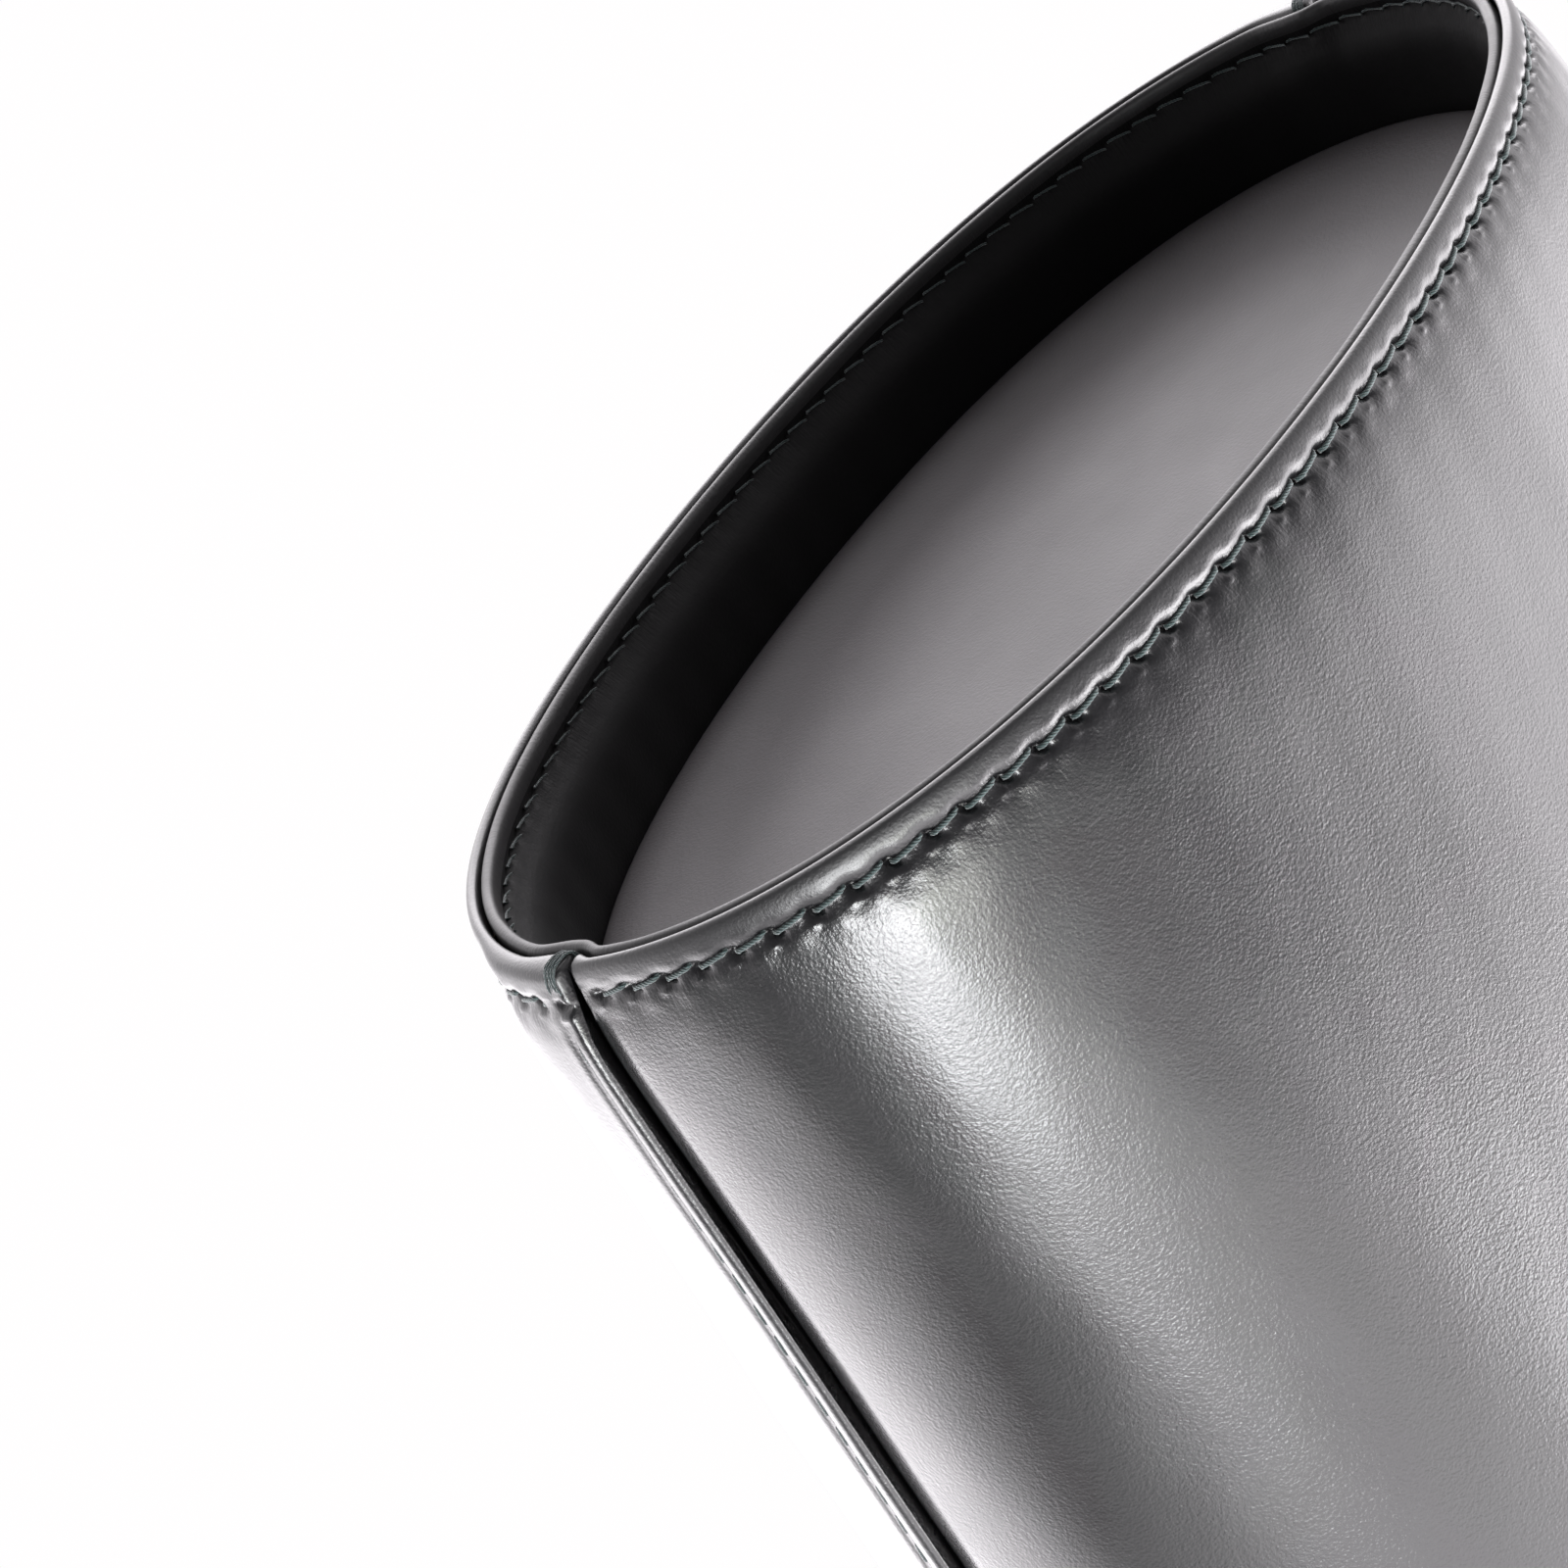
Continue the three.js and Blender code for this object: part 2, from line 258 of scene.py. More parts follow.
def closeSheet(piece, gap=0.004):
    selectOnly(piece)
    bpy.ops.object.mode_set(mode="EDIT")
    bpy.ops.mesh.select_all(action="SELECT")
    bpy.ops.mesh.remove_doubles(threshold=gap * mm)
    bpy.ops.mesh.select_all(action="DESELECT")
    bpy.ops.mesh.select_mode(type="EDGE")
    bpy.ops.mesh.select_non_manifold(extend=False, use_wire=False, use_multi_face=False,
                                     use_non_contiguous=False, use_verts=False)
    bpy.ops.mesh.fill_holes(sides=0)
    bpy.ops.mesh.select_all(action="SELECT")
    bpy.ops.mesh.normals_make_consistent(inside=False)
    bpy.ops.object.mode_set(mode="OBJECT")
    bpy.ops.object.shade_smooth()


def finishPiece(piece, material, slot, *nodes):
    piece.data.materials.clear()
    piece.data.materials.append(material)
    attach(piece, "root")
    if nodes:
        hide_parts(*nodes)


def newMaterial(name, color, roughness, **values):
    material = bpy.data.materials.new(name)
    material.use_nodes = True
    tree = material.node_tree
    shader = tree.nodes["Principled BSDF"]
    shader.inputs["Base Color"].default_value = (*color, 1)
    shader.inputs["Roughness"].default_value = roughness
    for key, value in values.items():
        shader.inputs[key.replace("_", " ")].default_value = value
    return material, tree, shader


def addNode(tree, kind, values=None, **settings):
    node = tree.nodes.new("ShaderNode" + kind)
    for key, value in settings.items():
        setattr(node, key, value)
    for key, value in (values or {}).items():
        node.inputs[key].default_value = value
    return node


def addMath(tree, operation, first, second):
    node = addNode(tree, "Math", operation=operation)
    for i, value in enumerate((first, second)):
        if isinstance(value, (int, float)):
            node.inputs[i].default_value = value
        else:
            tree.links.new(value, node.inputs[i])
    return node.outputs[0]


def addRange(tree, value, fromLow, fromHigh, toLow, toHigh):
    node = addNode(tree, "MapRange", {1: fromLow, 2: fromHigh, 3: toLow, 4: toHigh})
    tree.links.new(value, node.inputs[0])
    return node.outputs[0]


def addMix(tree, factor, first, second):
    node = addNode(tree, "Mix", data_type="RGBA")
    node.inputs[6].default_value = (*first, 1)
    node.inputs[7].default_value = (*second, 1)
    tree.links.new(factor, node.inputs[0])
    return node.outputs[2]


def addBump(tree, height, distance, strength=1.0, under=None):
    node = addNode(tree, "Bump", {"Distance": distance, "Strength": strength})
    tree.links.new(height, node.inputs["Height"])
    if under:
        tree.links.new(under, node.inputs["Normal"])
    return node.outputs["Normal"]


def addNoise(tree, vector, scale, detail=2.0, roughness=0.5):
    node = addNode(tree, "TexNoise", {"Scale": scale, "Detail": detail, "Roughness": roughness})
    tree.links.new(vector, node.inputs["Vector"])
    return node.outputs["Fac"]


def objectPlace(tree):
    return addNode(tree, "TexCoord").outputs["Object"]


# smooth black hide: fine pores, creases drawn up by the needle, light polish
boxCalf = {
    "color": (0.0050, 0.0050, 0.0056),
    "roughness": (0.20, 0.31),
    "poreScale": 5200.0,
    "poreDepth": 0.000017,
    "creaseDepth": 0.000012,
    "creaseReach": (1.8, 5.4),
    "handling": 0.35,
    "foldMatt": 0.20,
    "coat": 0.24,
    "coatRoughness": 0.18,
}

# what every hide here shares: scales per metre, distances from the edge in millimetres
hideGrain = {
    "poreStrength": 0.9,
    "poreWarp": 1.7,
    "softScale": 1100.0,
    "softStrength": 0.06,
    "creaseStart": (0.9, 2.1, 0.25, 1.0),
    "creaseStretch": (4.6, 0.75, 1.0),
    "creaseCut": (0.35, 0.62),
    "creaseStrength": 0.9,
    "foldReach": (0.5, 1.5),
    "wearScale": 95.0,
    "wearCut": (0.3, 0.75),
    "handledScale": 240.0,
}


def makeHide(name, look, creased):
    material, tree, shader = newMaterial(name, look["color"], look["roughness"][0])
    place = objectPlace(tree)
    pores = addNode(tree, "TexVoronoi", {"Scale": look["poreScale"], "Randomness": 1.0},
                    feature="SMOOTH_F1")
    warp = addNoise(tree, place, look["poreScale"] * hideGrain["poreWarp"])
    tree.links.new(place, pores.inputs["Vector"])
    poreHeight = addMath(tree, "ADD", pores.outputs["Distance"], warp)
    normal = addBump(tree, poreHeight, look["poreDepth"], hideGrain["poreStrength"])
    softGrain = addNoise(tree, place, hideGrain["softScale"])
    normal = addBump(tree, softGrain, look["poreDepth"], hideGrain["softStrength"], normal)
    if creased:
        onSheet = addNode(tree, "UVMap", uv_map="alongAndUp").outputs["UV"]
        parts = addNode(tree, "SeparateXYZ")
        tree.links.new(onSheet, parts.inputs[0])
        up = parts.outputs["Y"]
        fromTop = addMath(tree, "SUBTRACT", cup["height"], up)
        gap = addMath(tree, "MINIMUM", up, fromTop)
        reach = addRange(tree, gap, *look["creaseReach"], 1.0, 0.0)
        start = addRange(tree, gap, *hideGrain["creaseStart"])
        weight = addMath(tree, "MULTIPLY", reach, start)
        stretch = addNode(tree, "Mapping", {"Scale": hideGrain["creaseStretch"]})
        tree.links.new(onSheet, stretch.inputs["Vector"])
        creases = addNoise(tree, stretch.outputs[0], 1.0, 3.0, 0.6)
        sharp = addRange(tree, creases, *hideGrain["creaseCut"], 0.0, 1.0)
        height = addMath(tree, "MULTIPLY", sharp, weight)
        normal = addBump(tree, height, look["creaseDepth"], hideGrain["creaseStrength"], normal)
    tree.links.new(normal, shader.inputs["Normal"])
    wear = addNoise(tree, place, hideGrain["wearScale"], 4.0, 0.65)
    rough = addRange(tree, wear, *hideGrain["wearCut"], *look["roughness"])
    if creased:
        foldMatt = addRange(tree, gap, *hideGrain["foldReach"], look["foldMatt"], 0.0)
        rough = addMath(tree, "ADD", rough, foldMatt)
    tree.links.new(rough, shader.inputs["Roughness"])
    dark = look["color"]
    pale = tuple(c * (1 + look["handling"]) for c in dark)
    handled = addNoise(tree, place, hideGrain["handledScale"], 3.0)
    tree.links.new(addMix(tree, handled, dark, pale), shader.inputs["Base Color"])
    shader.inputs["Specular IOR Level"].default_value = look.get("specular", 0.5)
    shader.inputs["Coat Weight"].default_value = look.get("coat", 0.0)
    shader.inputs["Coat Roughness"].default_value = look.get("coatRoughness", 0.03)
    return material


calfMaterial = makeHide("blackBoxCalf", boxCalf, True)

mattCalf = {
    "color": (0.0042, 0.0040, 0.0044),
    "roughness": (0.42, 0.54),
    "poreScale": 4200.0,
    "poreDepth": 0.000012,
    "creaseDepth": 0.00004,
    "creaseReach": (1.5, 4.0),
    "handling": 0.4,
    "foldMatt": 0.02,
    "specular": 0.45,
}
mattBase = dict(mattCalf, color=(0.042, 0.0390, 0.0405), roughness=(0.52, 0.60), poreDepth=0.000020)
# the recess wall's copy of the band leather: a duller finish, and a darker colour that is painted
# shade of the recess
dullAndShadedCalf = dict(mattCalf, color=(0.0026, 0.0025, 0.0027), roughness=(0.55, 0.66),
                poreDepth=0.000016, specular=0.16)
bandMaterial = makeHide("bandCalf", mattCalf, True)
baseMaterial = makeHide("mattBaseCalf", mattBase, False)
dullAndShadedMaterial = makeHide("recessCalfPaintedShade", dullAndShadedCalf, True)

suedeLook = {"dark": (0.008, 0.0078, 0.0082), "pale": (0.030, 0.0285, 0.030), "napScale": 1500.0}
suedeMaterial, suedeTree, suedeShader = newMaterial(
    "charcoalSuede", suedeLook["dark"], 0.95, Sheen_Weight=0.45, Sheen_Roughness=0.45)
suedePlace = objectPlace(suedeTree)
suedeNap = addNoise(suedeTree, suedePlace, suedeLook["napScale"], 4.0, 0.7)
suedeBrushed = addNoise(suedeTree, suedePlace, 130.0, 3.0, 0.6)
suedeBlend = addMath(suedeTree, "MULTIPLY", suedeNap, suedeBrushed)
suedeTree.links.new(
    addMix(suedeTree, addRange(suedeTree, suedeBlend, 0.15, 0.4, 0.0, 1.0),
           suedeLook["dark"], suedeLook["pale"]),
    suedeShader.inputs["Base Color"])
suedeTree.links.new(addBump(suedeTree, suedeNap, 0.00012, 0.8), suedeShader.inputs["Normal"])

boardLook = {"pale": (0.30, 0.21, 0.13), "dark": (0.13, 0.085, 0.05)}
boardMaterial, boardTree, boardShader = newMaterial("fibreboard", boardLook["pale"], 0.85)
boardPlace = objectPlace(boardTree)
boardFibre = addNode(boardTree, "Mapping", {"Scale": (900.0, 900.0, 3800.0)})
boardTree.links.new(boardPlace, boardFibre.inputs["Vector"])
boardFlecks = addNoise(boardTree, boardFibre.outputs[0], 1.0, 5.0, 0.7)
boardTree.links.new(
    addMix(boardTree, addRange(boardTree, boardFlecks, 0.3, 0.7, 0.0, 1.0),
           boardLook["dark"], boardLook["pale"]),
    boardShader.inputs["Base Color"])
boardTree.links.new(addBump(boardTree, boardFlecks, 0.00008), boardShader.inputs["Normal"])

foamMaterial, foamTree, foamShader = newMaterial("greyFoam", (0.10, 0.10, 0.10), 0.95)
foamCells = addNode(foamTree, "TexVoronoi", {"Scale": 2200.0})
foamTree.links.new(objectPlace(foamTree), foamCells.inputs["Vector"])
foamTree.links.new(addBump(foamTree, foamCells.outputs["Distance"], 0.0002),
                   foamShader.inputs["Normal"])
foamTree.links.new(
    addMix(foamTree, foamCells.outputs["Distance"], (0.05, 0.05, 0.05), (0.16, 0.16, 0.16)),
    foamShader.inputs["Base Color"])

# waxed sewing thread, dark teal, with its ply marked by a slanted wave on its own map
threadLook = {"dark": (0.003, 0.010, 0.010), "pale": (0.032, 0.062, 0.060), "plies": 3.2}
threadMaterial, threadTree, threadShader = newMaterial(
    "tealThread", threadLook["dark"], 0.55, Sheen_Weight=0.35, Sheen_Roughness=0.4)
threadMap = addNode(threadTree, "UVMap", uv_map="alongAndUp").outputs["UV"]
threadPly = addNode(threadTree, "TexWave", {"Scale": threadLook["plies"], "Distortion": 0.6,
                                            "Detail": 1.0}, bands_direction="DIAGONAL")
threadTree.links.new(threadMap, threadPly.inputs["Vector"])
threadFibre = addNoise(threadTree, objectPlace(threadTree), 9000.0, 3.0, 0.7)
threadMixed = addMath(threadTree, "MULTIPLY", threadPly.outputs["Fac"], threadFibre)
threadTree.links.new(
    addMix(threadTree, addRange(threadTree, threadMixed, 0.05, 0.55, 0.0, 1.0),
           threadLook["dark"], threadLook["pale"]),
    threadShader.inputs["Base Color"])
threadTree.links.new(addBump(threadTree, threadMixed, 0.00006), threadShader.inputs["Normal"])
print("materials made")

# outer panels: one closed outline from the hidden side round the foot fold, up and back
outerPanel = {
    # offset, height, how far round to the outside, steps to the next point
    "footEdge": [
        (0.55, 9.0, 0.0, 1), (0.55, 5.2, 0.0, 1), (0.42, 4.0, 0.0, 1), (0.14, 3.0, 0.0, 1),
        (0.09, 1.2, 0.0, 2), (0.11, 0.40, 0.0, 2), (0.24, 0.09, 0.10, 3), (0.50, 0.0, 0.4, 3),
        (0.74, 0.09, 0.8, 3), (0.88, 0.36, 1.0, 3), (0.95, 0.72, 1.0, 3), (0.96, 1.06, 1.0, 3),
        (0.90, 1.38, 1.0, 3), (0.81, 1.67, 1.0, 3), (0.77, 1.92, 1.0, 3), (0.82, 2.25, 1.0, 4),
        (0.94, 2.70, 1.0, 4), (1.08, 3.35, 1.0, 3), (1.21, 4.40, 1.0, 3), (1.30, 6.4, 1.0, 0),
    ],
    "wallStep": 3.6,
    "columnsPerStitch": 12,
    "foldRadius": 0.42,
    "tuckReach": 2.0,
    "tuckDrop": 0.62,       # how far the front panel drops to pass under the lap, at the edges
    "tuckEase": 0.20,       # and how much less up the wall
    # distance from the edge and offset of the middle of the two layers
    "middleLine": ([0, 0.5, 2.4, 4.0, 5.2], [0.56, 0.54, 0.50, 0.82, 0.95]),
    # first columns from each end of the panel
    "backEnds": [0, 0.02, 0.07, 0.15, 0.26, 0.40, 0.58],
    "frontEnds": [0, 0.3, 0.7, 1.0, 1.15, 1.3, 1.42, 1.54, 1.66, 1.78, 1.9],
    "dip": 0.16,            # the front panel dips beside the fold
    "seamGroove": 0.16,
    "lapStiffness": 0.32,
}


def panelOutline():
    edge = outerPanel["footEdge"]
    foot = curveThrough([p[:3] for p in edge], [p[3] for p in edge[:-1]])
    mouth = foot[::-1].copy()
    mouth[:, 1] = cup["height"] - mouth[:, 1]
    count = int((mouth[0, 1] - foot[-1, 1]) / outerPanel["wallStep"])
    wallZ = np.linspace(foot[-1, 1], mouth[0, 1], count + 2)[1:-1]
    wall = np.stack([foot[-1, 0] + 0 * wallZ, wallZ, 1 + 0 * wallZ], axis=-1)
    hiddenZ = np.linspace(mouth[-1, 1], foot[0, 1], 9)[1:-1]
    hidden = np.stack([foot[0, 0] + 0 * hiddenZ, hiddenZ, 0 * hiddenZ], axis=-1)
    return np.vstack([foot, wall, mouth, hidden, foot[:1]])


def lapLift(t, gap):
    past = cup["fold"] + cup["lap"]
    lift = cup["lapRise"] * (1 - smooth((t - past) / cup["lapRamp"]))
    return lift * (0.66 + 0.34 * smooth(gap / 4.0))


# how far the outside of the leather stands off its plain outline
def outsideRelief(isBack, along, z):
    t = fromEnd(along)
    gap = edgeGap(z)
    clear = smooth((gap - 1.4) / 2.6)
    plain = needlePit(along, gap, 1.0 - 0.85 * bell((t - 0.4) / 0.8)) + hideWave(along, z) * clear
    # the thick lap isn't drawn in by the edge stitching as the rest is
    stiff = outerPanel["lapStiffness"] * bell((t - 1.2) / 2.2)
    plain = plain + stiff * smooth((gap - 1.0) / 0.9) * (1 - smooth((gap - 1.9) / 1.6))
    if isBack:
        fold = t - cup["fold"]
        groove = outerPanel["seamGroove"] * bell((fold - 1.05) / 0.17) * smooth((gap - 3.2) / 1.0)
        bead = 0.07 * bell((fold - 0.35) / 0.3) + 0.05 * bell((fold - 1.55) / 0.35)
        return plain + lapLift(t, gap) - groove + bead * clear
    dip = outerPanel["dip"] * smooth((t + 1.0) / 1.3) * smooth((gap - 2.0) / 2.2)
    return plain - dip


def makePanel(name, isBack, node):
    outline = panelOutline()
    step = pitch / outerPanel["columnsPerStitch"]
    if isBack:
        first, last = cup["fold"], halfWay - cup["fold"]
        ends = np.array(outerPanel["backEnds"])
    else:
        first, last = halfWay - outerPanel["tuckReach"], around + outerPanel["tuckReach"]
        ends = np.array(outerPanel["frontEnds"])
    middle = np.arange(math.ceil((first + ends[-1] + 0.1) / step),
                       math.floor((last - ends[-1] - 0.1) / step) + 1) * step
    alongs = np.concatenate([first + ends, middle, (last - ends)[::-1]])
    piece, column, row = newSheet(name, len(alongs), len(outline))
    along = alongs[column]
    offset, z, outside = outline[row].T
    gap = edgeGap(z)
    t = fromEnd(along)
    middleLine = np.interp(gap, *outerPanel["middleLine"])
    relief = outsideRelief(isBack, along, z)
    inner = -edgeStep(along) * (1 - smooth((gap - 2.0) / 2.0))
    if isBack:
        inner = inner + lapLift(t, gap) * smooth((gap - 1.5) / 2.5)
        d = np.minimum(along - first, last - along)
        r = outerPanel["foldRadius"]
        full = np.sqrt(np.clip(1 - (1 - np.minimum(d / r, 1)) ** 2, 0, 1))
        placed = offset + outside * relief + (1 - outside) * inner
        centre = middleLine + 0.5 * (relief + inner)
        offset = centre + (placed - centre) * full
        rounded = np.maximum(gap, (1 - full) * 0.4)
    else:
        tuck = smooth((t - 0.45) / 0.5)
        notch = smooth((t - 0.12) / 0.45)
        drop = outerPanel["tuckDrop"] - outerPanel["tuckEase"] * smooth((gap - 2.0) / 2.2)
        offset = offset + outside * relief + (1 - outside) * inner
        offset = offset - outside * tuck * drop
        rounded = gap + notch * np.maximum(0, 3.5 - gap)
        offset = np.where(tuck > 0, np.maximum(offset, 0.45 * tuck + (1 - tuck) * offset), offset)
    z = np.where(z < cup["height"] / 2, rounded, cup["height"] - rounded)
    piece.data.vertices.foreach_set("co", wallPoints(along, offset, z).ravel())
    mapSheet(piece, along, z)
    closeSheet(piece)
    finishPiece(piece, calfMaterial, "outer_leather", node)
    return piece


panelBack = makePanel("backPanel", True, "outer_panel_back")
panelFront = makePanel("frontPanel", False, "outer_panel_front")
print("outer panels sewn:", len(panelBack.data.polygons) + len(panelFront.data.polygons), "faces")

# foot band and mouth facing: the same folded strip, one of them turned over
foldedStrip = {
    "edge": [
        (-1.30, 5.5, 0.0, 2), (-1.15, 3.9, 0.0, 2), (-0.22, 3.1, 0.0, 2), (-0.12, 2.0, 0.0, 2),
        (-0.09, 1.0, 0.0, 2), (-0.11, 0.52, 0.0, 3), (-0.24, 0.21, 0.2, 3), (-0.50, 0.12, 0.6, 3),
        (-0.76, 0.20, 1.0, 3), (-0.92, 0.48, 1.0, 3), (-0.97, 0.95, 1.0, 3), (-0.92, 1.40, 1.0, 3),
        (-0.80, 1.85, 1.0, 3), (-0.93, 2.30, 1.0, 3), (-1.25, 2.95, 1.0, 3), (-1.65, 3.7, 1.0, 2),
        (-1.95, 4.7, 1.0, 2), (-2.05, 6.0, 1.0, 0),
    ],
    "wall": -2.05,          # shown side of the strip, past the fold
    "back": -1.30,          # glued side
    "wallFrom": 6.0,
    "columnsPerStitch": 7,
    "pull": 0.28,
    # past this distance from the edge the strip takes the dull copy, whose darker colour is painted
    # shade of the recess
    "dullAndShadedFrom": 1.25,
}


def makeStrip(name, length, turnedOver, node):
    edge = foldedStrip["edge"]
    fold = curveThrough([p[:3] for p in edge], [p[3] for p in edge[:-1]])
    wall, back = foldedStrip["wall"], foldedStrip["back"]
    downZ = np.linspace(foldedStrip["wallFrom"], length, 5)[1:]
    down = np.stack([wall + 0 * downZ, downZ, 1 + 0 * downZ], axis=-1)
    tail = [(-1.65, length + 0.05, 0.5), (back + 0.03, length, 0.0), (back, 0.6 * length, 0.0)]
    outline = np.vstack([fold, down, tail, fold[:1]])
    columns = cup["stitchCount"] * foldedStrip["columnsPerStitch"] + 1
    piece, column, row = newSheet(name, columns, len(outline))
    along = column / (columns - 1) * around
    offset, gap, shown = outline[row].T
    soft = smooth((gap - 3.0) / 3.0) * shown * (gap < length)
    crease = 0.05 * np.sin(along * fullTurn / 7.3) * np.sin(along * 0.61) * soft
    offset = offset - shown * needlePit(along, gap, foldedStrip["pull"]) + crease
    offset = offset - edgeStep(along) * (1 - 0.75 * smooth((gap - 1.5) / 4.0))
    offset = offset + shown * 0.5 * hideWave(along, gap, 2.0)
    z = cup["height"] - gap if turnedOver else gap
    piece.data.vertices.foreach_set("co", wallPoints(along, offset, z).ravel())
    mapSheet(piece, along, gap)
    closeSheet(piece)
    finishPiece(piece, bandMaterial, "matt_leather", node)
    # faces inside the recess take the dull copy, darkened as painted shade
    piece.data.materials.append(dullAndShadedMaterial)
    for face in piece.data.polygons:
        face.material_index = int(edgeGap(face.center.z / mm) > foldedStrip["dullAndShadedFrom"])


facingLow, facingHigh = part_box("mouth_facing")
makeStrip("footBand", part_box("foot_band")[1].z / mm, False, "foot_band")
makeStrip("mouthFacing", (facingHigh.z - facingLow.z) / mm, True, "mouth_facing")
print("foot band and mouth facing folded")

discDent = 0.1125    # depth of the faint dents in the discs


# oval discs: base leather, floor lining and its pad
def makeDisc(name, outline, crown, material, slot, node, columns=240, dish=0.0):
    outline = np.array(outline, float)
    piece, column, row = newSheet(name, columns + 1, len(outline))
    along = column / columns * around
    reach, offset, z = outline[row].T
    point = wallPoints(along, offset, z)
    point[:, :2] *= reach[:, None]
    shown = outline[row, 2] - outline[0, 2]
    near = np.abs(shown) < 0.35
    swell = crown * (1 - reach ** 2) * near
    dents = np.sin(point[:, 0] * 210 + 1) * np.sin(point[:, 1] * 260) * reach * (1 - reach) * near
    turnedOut = dish * smooth((reach - 0.8) / 0.2) * (shown < 0.95)
    point[:, 2] += (swell + discDent * dents - turnedOut) * mm
    piece.data.vertices.foreach_set("co", point.ravel())
    mapSheet(piece, point[:, 0] / mm, point[:, 1] / mm)
    closeSheet(piece)
    finishPiece(piece, material, slot, node)
    return piece


reaches = (0, 0.05, 0.12, 0.2, 0.3, 0.4, 0.5, 0.6, 0.7, 0.78, 0.86, 0.93, 0.97)
baseLow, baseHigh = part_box("base_leather")
under = baseLow.z / mm
wrapTop = baseHigh.z / mm
baseOutline = [(f, -3.3, under) for f in reaches] + [
    (1, -3.3, under), (1, -2.95, under + 0.02), (1, -2.6, under + 0.10), (1, -2.35, under + 0.26),
    (1, -2.18, under + 0.5), (1, -2.12, under + 0.9), (1, -2.12, wrapTop - 0.3),
    (1, -2.4, wrapTop), (1, -2.8, wrapTop), (1, -3.1, wrapTop - 0.25), (1, -3.15, under + 0.9)]
baseOutline += [(f, -3.3, under + 0.8) for f in reaches[::-1]]
makeDisc("recessedBase", baseOutline, -0.12, baseMaterial, "matt_leather", "base_leather",
         dish=1.1)

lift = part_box("floor_lining")[1].z / mm
floorOutline = [(f, -3.3, lift) for f in reaches] + [
    (1, -3.3, lift), (1, -2.7, lift - 0.03), (1, -2.35, lift - 0.15), (1, -2.2, lift - 0.4),
    (1, -2.35, lift - 0.7), (1, -2.8, lift - 0.8)]
floorOutline += [(f, -3.3, lift - 0.8) for f in reaches[::-1]]
makeDisc("suedeFloor", floorOutline, 0.25, suedeMaterial, "suede_lining", "floor_lining")

padLow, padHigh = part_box("floor_pad")
low, high = padLow.z / mm, padHigh.z / mm
padOutline = [(f, -4.4, high) for f in reaches] + [
    (1, -4.4, high - 0.05), (1, -3.8, high - 0.2), (1, -3.45, high - 0.45), (1, -3.4, high - 0.75),
    (1, -3.45, low + 0.35), (1, -3.7, low + 0.08), (1, -4.4, low)]
padOutline += [(f, -4.4, low) for f in reaches[::-1]]
floorPad = makeDisc("floorPad", padOutline, 0.15, foamMaterial, "foam", "floor_pad", 120)
print("base, floor lining and pad laid")


# suede wall lining, two halves butted at the ends of the oval
def makeLining(name, first, last, node):
    low, high = (corner.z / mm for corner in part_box(node))
    heights = np.linspace(low, high, 24)
    face = [(-2.05, z, 1.0) for z in heights]
    hidden = [(-1.3, z, 0.0) for z in heights[::-3]]
    rounded = [(-1.65, high + 0.08, 0.5)]
    foot = [(-1.65, low - 0.05, 0.5), (-2.05, low, 1.0)]
    outline = np.array(face + rounded + hidden + foot)
    alongs = np.linspace(first + 0.12, last - 0.12, 200)
    alongs = np.concatenate([[first + 0.10], alongs, [last - 0.10]])
    piece, column, row = newSheet(name, len(alongs), len(outline))
    along = alongs[column]
    offset, z, shown = outline[row].T
    endGap = np.minimum(along - first, last - along) - 0.10
    full = np.where(endGap < 0.01, 0.15, np.where(endGap < 0.1, 0.8, 1.0))
    offset = -1.68 + (offset + 1.68) * full + shown * 1.6 * hideWave(along, z, 4.0) * (full == 1)
    piece.data.vertices.foreach_set("co", wallPoints(along, offset, z).ravel())
    mapSheet(piece, along, z)
    closeSheet(piece)
    finishPiece(piece, suedeMaterial, "suede_lining", node)


makeLining("suedeWallBack", 0, halfWay, "wall_lining_back")
makeLining("suedeWallFront", halfWay, around, "wall_lining_front")
print("wall lining glued in")

# stitches: one strand of two plies, copied along each row
strand = {"sides": 8, "rings": 9, "radius": 0.14, "lobes": 0.09, "twist": 2.6, "dive": 0.30}


def makeStrand():
    piece, column, row = newSheet("strand", strand["sides"] + 1, strand["rings"])
    turn = column / strand["sides"] * fullTurn
    t = row / (strand["rings"] - 1)
    ply = 1 + strand["lobes"] * np.cos(2 * (turn - strand["twist"] * math.pi * t))
    radius = strand["radius"] * ply * (0.85 + 0.15 * np.clip(np.sin(math.pi * t), 0, 1) ** 0.5)
    local = np.stack([t, radius * np.cos(turn), radius * np.sin(turn)], axis=-1)
    piece.data.vertices.foreach_set("co", local.ravel())
    mapSheet(piece, t * 1.7, column / strand["sides"])
    closeSheet(piece, 4.0)
    return piece


strandPiece = makeStrand()


